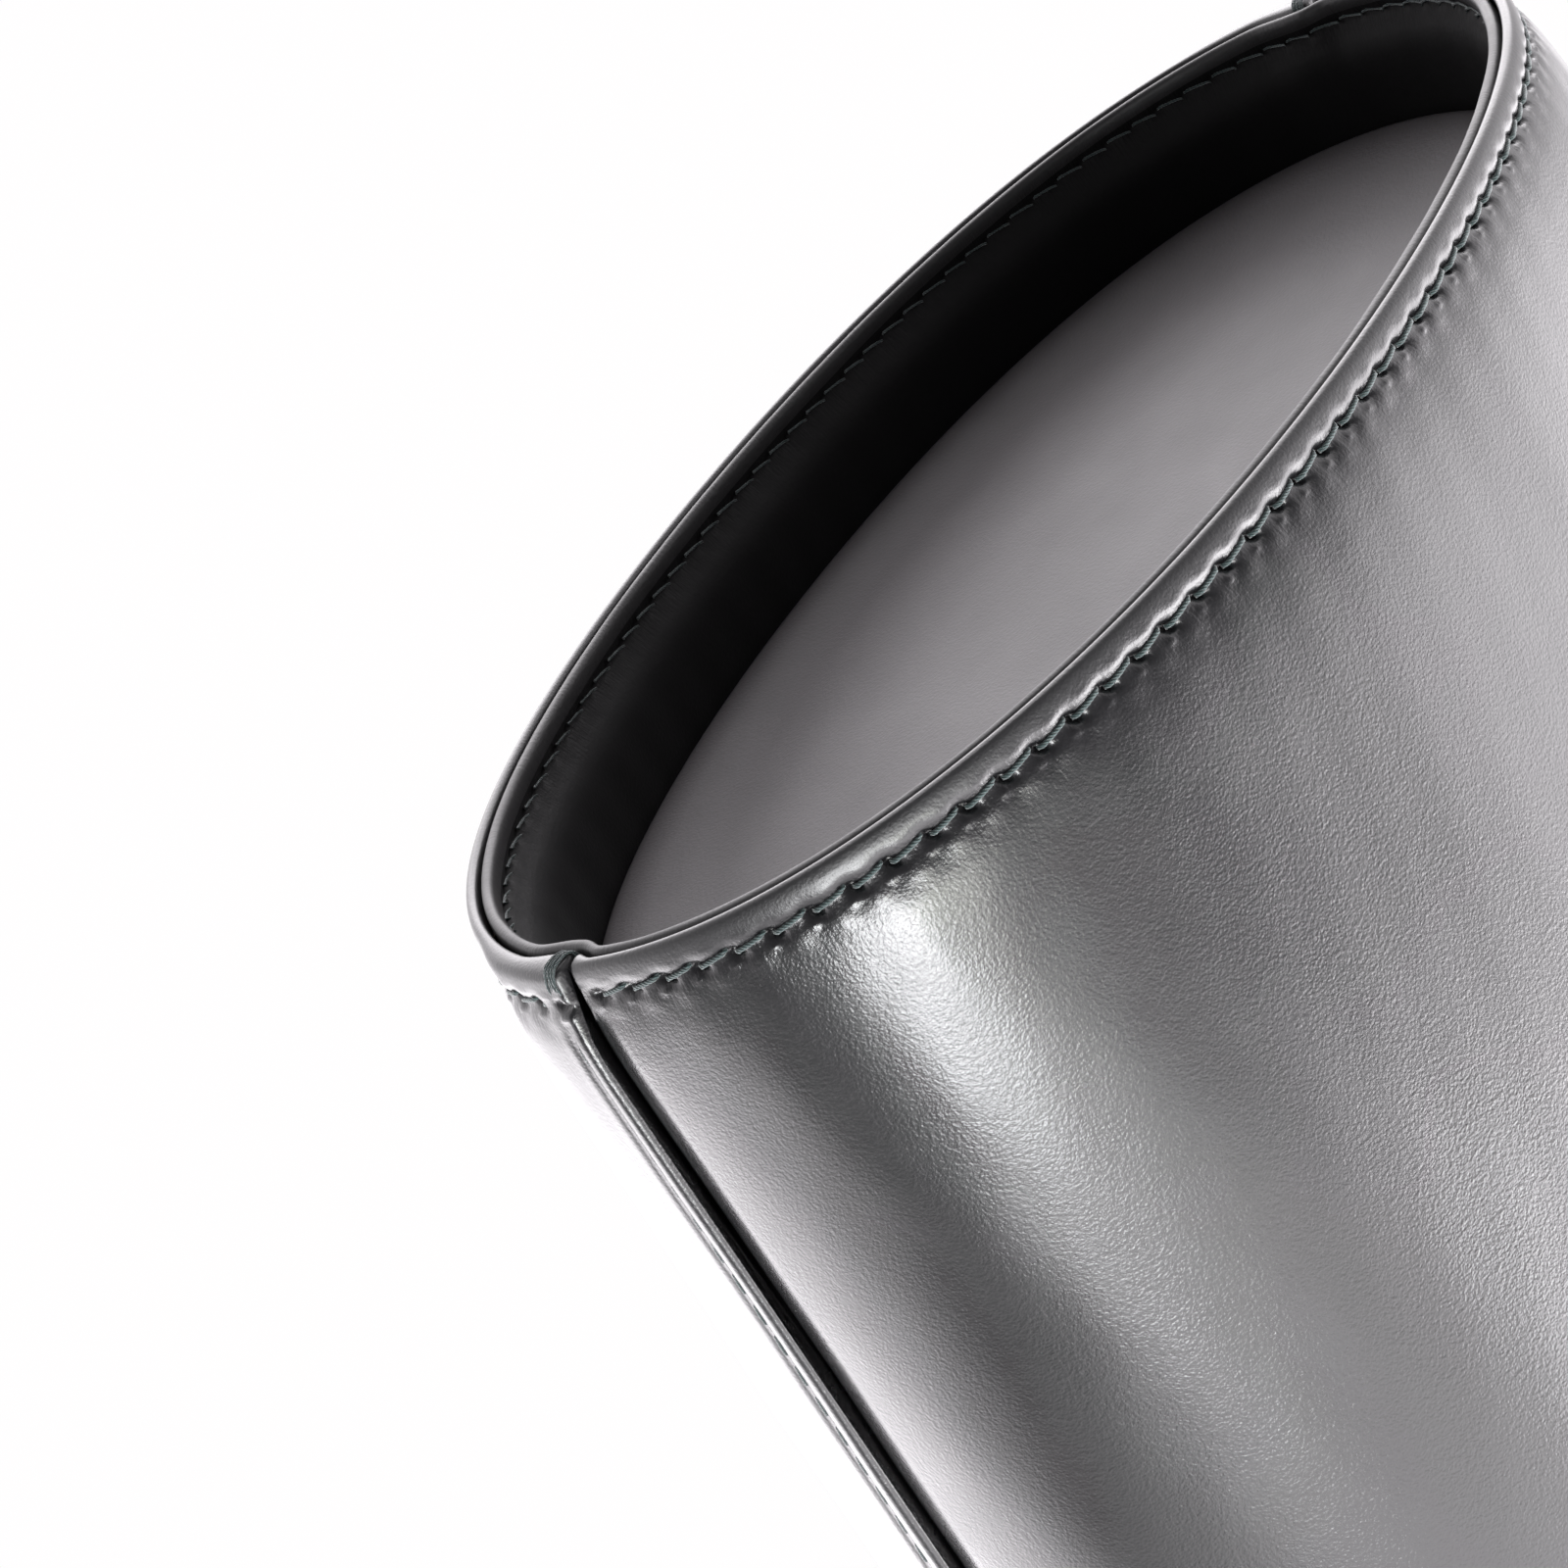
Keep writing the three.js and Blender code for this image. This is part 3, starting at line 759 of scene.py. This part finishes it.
# starts and ends: (along, offset, height) of each stitch; upright rows run up the wall
def sewRow(name, stitches, radius, node, upright=False):
    local = np.zeros(len(strandPiece.data.vertices) * 3)
    strandPiece.data.vertices.foreach_get("co", local)
    t, out, side = local.reshape(-1, 3).T
    sag = strand["dive"] * (1 - np.clip(np.sin(math.pi * t), 0, 1) ** 0.16)
    copies = []
    for start, end in stitches:
        copy = strandPiece.copy()
        copy.data = strandPiece.data.copy()
        bpy.context.collection.objects.link(copy)
        along = start[0] + (end[0] - start[0]) * t
        offset = start[1] + (end[1] - start[1]) * t + out * radius - sag
        z = start[2] + (end[2] - start[2]) * t
        if upright:
            along = along + side * radius
        else:
            z = z + side * radius
        copy.data.vertices.foreach_set("co", wallPoints(along, offset, z).ravel())
        copies.append(copy)
    deselectAll()
    for copy in copies:
        copy.select_set(True)
    bpy.context.view_layer.objects.active = copies[0]
    bpy.ops.object.join()
    row = bpy.context.object
    row.name = name
    row.data.name = name
    selectOnly(row)
    bpy.ops.object.mode_set(mode="EDIT")
    bpy.ops.mesh.select_all(action="SELECT")
    bpy.ops.mesh.normals_make_consistent(inside=False)
    bpy.ops.object.mode_set(mode="OBJECT")
    bpy.ops.object.shade_smooth()
    finishPiece(row, threadMaterial, "thread", node)


needleRow = {"outside": 0.83, "inside": -0.80, "slant": 0.15, "bite": 0.14}


def edgeRow(turnedOver, outside):
    stitches = []
    for k in range(cup["stitchCount"]):
        ends = []
        for j, toward in ((k, 1), (k + 1, -1)):
            hole = (j + cup["stitchStart"]) * pitch + holeShift[j % cup["stitchCount"]]
            along = hole + toward * needleRow["bite"]
            gap = cup["stitchRow"] - toward * needleRow["slant"]
            ends.append((along, gap))
        middle = fromEnd((ends[0][0] + ends[1][0]) / 2)
        if outside and -0.5 < middle < 1.9:
            continue
        stitch = []
        for along, gap in ends:
            t = fromEnd(along)
            onBack = t > cup["fold"]
            if outside:
                offset = needleRow["outside"] + (lapLift(t, gap) if onBack else 0)
            else:
                offset = needleRow["inside"] - edgeStep(along)
            z = cup["height"] - gap if turnedOver else gap
            stitch.append((along, offset, z))
        stitches.append(stitch)
    return stitches


sewRow("footStitches", edgeRow(False, True), 1.0, "foot_needle_thread")
sewRow("mouthStitches", edgeRow(True, True), 1.0, "mouth_needle_thread")
sewRow("footInnerStitches", edgeRow(False, False), 0.7, "foot_bobbin_thread")
sewRow("mouthInnerStitches", edgeRow(True, False), 0.7, "mouth_bobbin_thread")
seamRow = {"inset": 1.05, "from": 3.9, "offset": 1.98, "gap": 0.22, "radius": 0.72, "lean": 0.06}
for sideName, end, way in (("right", 0, 1), ("left", halfWay, -1)):
    place = end + way * (cup["fold"] + seamRow["inset"])
    count = int((cup["height"] - 2 * seamRow["from"]) / pitch)
    length = (cup["height"] - 2 * seamRow["from"]) / count
    lean = seamRow["lean"] * way
    stitches = []
    for k in range(count):
        z = seamRow["from"] + k * length
        stitches.append(((place - lean, seamRow["offset"], z + seamRow["gap"]),
                         (place + lean, seamRow["offset"], z + length - seamRow["gap"])))
    sewRow("seamStitches_" + sideName, stitches, seamRow["radius"], "seam_thread_" + sideName,
           True)
print("stitches sewn")

# loops that bind the end of the lap's fold, over each edge
tack = {"loops": 8, "spacing": 0.11, "radius": 0.068, "sides": 8, "rings": 26,
        "twist": 9, "wander": 0.07, "spread": 0.30, "lean": 0.5, "lift": 0.10}
# offset from the foot line and distance from the edge, along one loop
tackPath = curveThrough(
    [(-0.55, 1.6), (-0.55, 0.7), (-0.38, 0.12), (0.05, -0.16), (0.6, -0.2), (1.12, -0.05),
     (1.42, 0.45), (1.45, 1.1), (1.30, 1.75), (0.95, 2.15)], [3] * 9)


def onTackPath(place):
    steps = np.arange(len(tackPath))
    return np.interp(place, steps, tackPath[:, 0]), np.interp(place, steps, tackPath[:, 1])


def makeTack(name, end, way, turnedOver, node):
    loops = []
    for i in range(tack["loops"]):
        piece, column, row = newSheet("loop", tack["sides"] + 1, tack["rings"])
        t = row / (tack["rings"] - 1)
        turn = column / tack["sides"] * fullTurn
        s = t * (len(tackPath) - 1)
        offset, gap = onTackPath(s)
        nextOffset, nextGap = onTackPath(s + 0.3)
        lastOffset, lastGap = onTackPath(s - 0.3)
        run = np.hypot(nextOffset - lastOffset, nextGap - lastGap)
        normalO, normalZ = (nextGap - lastGap) / run, -(nextOffset - lastOffset) / run
        wobble = tack["wander"] * np.sin(3.1 * i + 9 * t)
        wobble = wobble + tack["spread"] * (t - 0.5) * (-1) ** i + tack["lean"] * t
        radius = tack["radius"] * (1 + 0.15 * np.cos(2 * (turn - tack["twist"] * math.pi * t)))
        radius = radius * (0.7 + 0.3 * np.clip(np.sin(math.pi * t), 0, 1) ** 0.4)
        along = end + way * (cup["fold"] - 0.02 + tack["spacing"] * i + wobble) + radius * np.cos(turn)
        lift = tack["lift"] * np.sin(2.3 * i)
        offset = offset + normalO * (radius * np.sin(turn) + lift * t)
        gap = gap + normalZ * (radius * np.sin(turn) + lift * t)
        z = cup["height"] - gap if turnedOver else gap
        piece.data.vertices.foreach_set("co", wallPoints(along, offset, z).ravel())
        mapSheet(piece, t * 4.5, column / tack["sides"])
        closeSheet(piece)
        loops.append(piece)
    deselectAll()
    for loop in loops:
        loop.select_set(True)
    bpy.context.view_layer.objects.active = loops[0]
    bpy.ops.object.join()
    joined = bpy.context.object
    joined.name = name
    joined.data.name = name
    finishPiece(joined, threadMaterial, "thread", node)


for sideName, end, way in (("right", 0, 1), ("left", halfWay, -1)):
    makeTack("footTack_" + sideName, end, way, False, "foot_tack_" + sideName)
    makeTack("mouthTack_" + sideName, end, way, True, "mouth_tack_" + sideName)
bpy.data.objects.remove(strandPiece)
print("tacks bound")

# stiffening boards keep their shape and take a fibreboard finish
for name in ("shell_board_back", "shell_board_front", "base_board", "floor_board"):
    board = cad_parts[name]
    board.data.materials.clear()
    board.data.materials.append(boardMaterial)

# floor, light and camera
studio = {
    "floorSize": 4.0,
    "floorColor": (0.34, 0.336, 0.334),
    "backdrop": (1.0, 0.992, 0.995),
    "tint": (1.0, 0.968, 1.0),
    # heights of a direction between which one ring of light passes into the next
    "underToLow": (-0.15, 0.0),
    "lowToLevel": (0.19, 0.31),
    "levelToHigh": (0.34, 0.49),
    "zenith": (0.55, 0.85, 1.0, 0.45),
    "nadir": (-0.75, -0.40, 0.7, 1.0),
    # azimuth in degrees and brightness of the surroundings, level with the cup and below it
    "ring": [(-180, 1.8), (-168, 3.4), (-155, 6.4), (-119, 7.0), (-107, 5.0), (-97, 2.9),
             (-86, 1.8), (-64, 2.2), (-56, 2.2), (-46, 2.8), (-24, 2.5), (-12, 0.5), (8, 0.5),
             (22, 3.9), (36, 7.0), (56, 9.0), (66, 6.0), (80, 3.4), (112, 2.6), (135, 1.6),
             (180, 1.8)],
    "lowRing": [(-180, 1.0), (-160, 2.4), (-130, 3.0), (-108, 1.1), (-80, 0.25), (-60, 2.2),
                (-45, 5.0), (-20, 1.6), (0, 0.3), (20, 1.2), (40, 2.8), (60, 3.4), (95, 2.0),
                (180, 1.0)],
    "underRing": [(-180, 4.0), (-165, 2.0), (-130, 1.4), (-110, 0.3), (-20, 0.3), (0, 0.2),
                  (20, 0.8), (40, 1.6), (60, 2.0), (95, 2.0), (110, 3.0), (124, 6.0), (150, 6.4),
                  (168, 7.5), (180, 4.0)],
    "highRing": [(-180, 5.5), (-130, 8.2), (-95, 6.8), (-74, 6.6), (-54, 5.4), (-22, 4.7),
                 (-6, 2.5), (8, 1.3), (27, 3.4), (56, 8.0), (90, 5.0), (180, 5.5)],
}
deselectAll()
bpy.ops.mesh.primitive_plane_add(size=studio["floorSize"], location=(0, 0, cadBox[0].z))
floor = bpy.context.object
floor.name = "paleFloor"
floor.visible_diffuse = False
floor.visible_glossy = False
floor.visible_transmission = False
floor.visible_shadow = False
floorMaterial, floorTree, floorShader = newMaterial("palePaper", studio["floorColor"], 0.9)
facing = addNode(floorTree, "NewGeometry")
clear = addNode(floorTree, "BsdfTransparent")
mixShader = addNode(floorTree, "MixShader")
floorTree.links.new(facing.outputs["Backfacing"], mixShader.inputs[0])
floorTree.links.new(floorShader.outputs[0], mixShader.inputs[1])
floorTree.links.new(clear.outputs[0], mixShader.inputs[2])
floorTree.links.new(mixShader.outputs[0], floorTree.nodes["Material Output"].inputs[0])
floor.data.materials.append(floorMaterial)

world = bpy.data.worlds.new("softStudio")
bpy.context.scene.world = world
world.use_nodes = True
worldTree = world.node_tree
background = worldTree.nodes["Background"]
direction = addNode(worldTree, "TexCoord").outputs["Generated"]
axes = addNode(worldTree, "SeparateXYZ")
worldTree.links.new(direction, axes.inputs[0])
azimuth = addMath(worldTree, "ARCTAN2", axes.outputs["Y"], axes.outputs["X"])
place = addRange(worldTree, azimuth, -math.pi, math.pi, 0.0, 1.0)


def addRing(stops):
    ramp = addNode(worldTree, "ValToRGB")
    worldTree.links.new(place, ramp.inputs[0])
    brightest = max(value for angle, value in stops)
    for i, (angle, value) in enumerate(stops):
        stop = (angle + 180) / 360
        element = ramp.color_ramp.elements[i] if i < 2 else ramp.color_ramp.elements.new(stop)
        element.position = stop
        element.color = (value / brightest,) * 3 + (1,)
    return addMath(worldTree, "MULTIPLY", ramp.outputs[0], brightest)


levelLight = addRing(studio["ring"])
lowLight = addRing(studio["lowRing"])
highLight = addRing(studio["highRing"])
underLight = addRing(studio["underRing"])


def blendLight(heights, first, second):
    share = addRange(worldTree, axes.outputs["Z"], *heights, 0.0, 1.0)
    rest = addMath(worldTree, "SUBTRACT", 1.0, share)
    firstPart = addMath(worldTree, "MULTIPLY", first, rest)
    return addMath(worldTree, "ADD", firstPart, addMath(worldTree, "MULTIPLY", second, share))


total = blendLight(studio["underToLow"], underLight, lowLight)
total = blendLight(studio["lowToLevel"], total, levelLight)
total = blendLight(studio["levelToHigh"], total, highLight)
for fade in ("zenith", "nadir"):
    fadeShare = addRange(worldTree, axes.outputs["Z"], *studio[fade])
    total = addMath(worldTree, "MULTIPLY", total, fadeShare)
worldTree.links.new(total, background.inputs["Strength"])
background.inputs["Color"].default_value = (*studio["tint"], 1)
seen = addNode(worldTree, "Background", {"Color": (*studio["backdrop"], 1), "Strength": 1.0})
path = addNode(worldTree, "LightPath")
worldMix = addNode(worldTree, "MixShader")
worldTree.links.new(path.outputs["Is Camera Ray"], worldMix.inputs[0])
worldTree.links.new(background.outputs[0], worldMix.inputs[1])
worldTree.links.new(seen.outputs[0], worldMix.inputs[2])
worldTree.links.new(worldMix.outputs[0], worldTree.nodes["World Output"].inputs[0])
bpy.context.scene.view_settings.view_transform = "Standard"

softboxes = {
    "windowLight": {"azimuth": -30, "elevation": 6, "distance": 0.9, "size": (0.22, 0.36),
                    "power": 7.4, "aim": (0.03, -0.02, 0.02), "color": (0.97, 0.985, 1.0)},
    "lowPanel": {"azimuth": -44, "elevation": 7, "distance": 0.9, "size": (0.24, 0.10),
                 "power": 1.4, "aim": (0.03, -0.02, 0.0), "color": (0.95, 1.0, 0.88)},
    "skyPanel": {"azimuth": -100, "elevation": 42, "distance": 0.9, "size": (0.55, 0.40),
                 "power": 9.0, "aim": (0.0, -0.03, 0.05), "color": (1.0, 0.98, 1.0)},
}


def addSoftbox(name, look):
    deselectAll()
    bpy.ops.object.light_add(type="AREA")
    lamp = bpy.context.object
    lamp.name = name
    lamp.data.shape = "RECTANGLE"
    lamp.data.size, lamp.data.size_y = look["size"]
    lamp.data.energy = look["power"]
    lamp.data.color = look["color"]
    lamp.visible_camera = False
    az, el = math.radians(look["azimuth"]), math.radians(look["elevation"])
    toward = Vector((math.cos(az) * math.cos(el), math.sin(az) * math.cos(el), math.sin(el)))
    lamp.location = Vector(look["aim"]) + toward * look["distance"]
    lamp.rotation_euler = toward.to_track_quat("Z", "Y").to_euler()
    return lamp


for name, look in softboxes.items():
    addSoftbox(name, look)

# the camera looks up at the foot from below the standing plane, nearly upside down
view = {"aim": (34.0, -6.9, 0.0), "distance": 151.17, "azimuth": -35.54, "elevation": 22.94,
        "roll": 142.35, "lens": 67.5, "sensor": 36, "clipStart": 0.01}
deselectAll()
bpy.ops.object.camera_add()
camera = bpy.context.object
camera.name = "lowCamera"
az, el = math.radians(view["azimuth"]), math.radians(view["elevation"])
forward = Vector((math.sin(az) * math.cos(el), math.cos(az) * math.cos(el), math.sin(el)))
level = forward.cross(Vector((0, 0, 1))).normalized()
upright = level.cross(forward)
turned = Matrix((level, upright, -forward)).transposed() @ Matrix.Rotation(
    math.radians(view["roll"]), 3, "Z")
camera.matrix_world = Matrix.Translation(
    (Vector(view["aim"]) - forward * view["distance"]) * mm) @ turned.to_4x4()
camera.data.lens = view["lens"]
camera.data.sensor_width = view["sensor"]
camera.data.clip_start = view["clipStart"]
bpy.context.scene.camera = camera
print("stage lit")
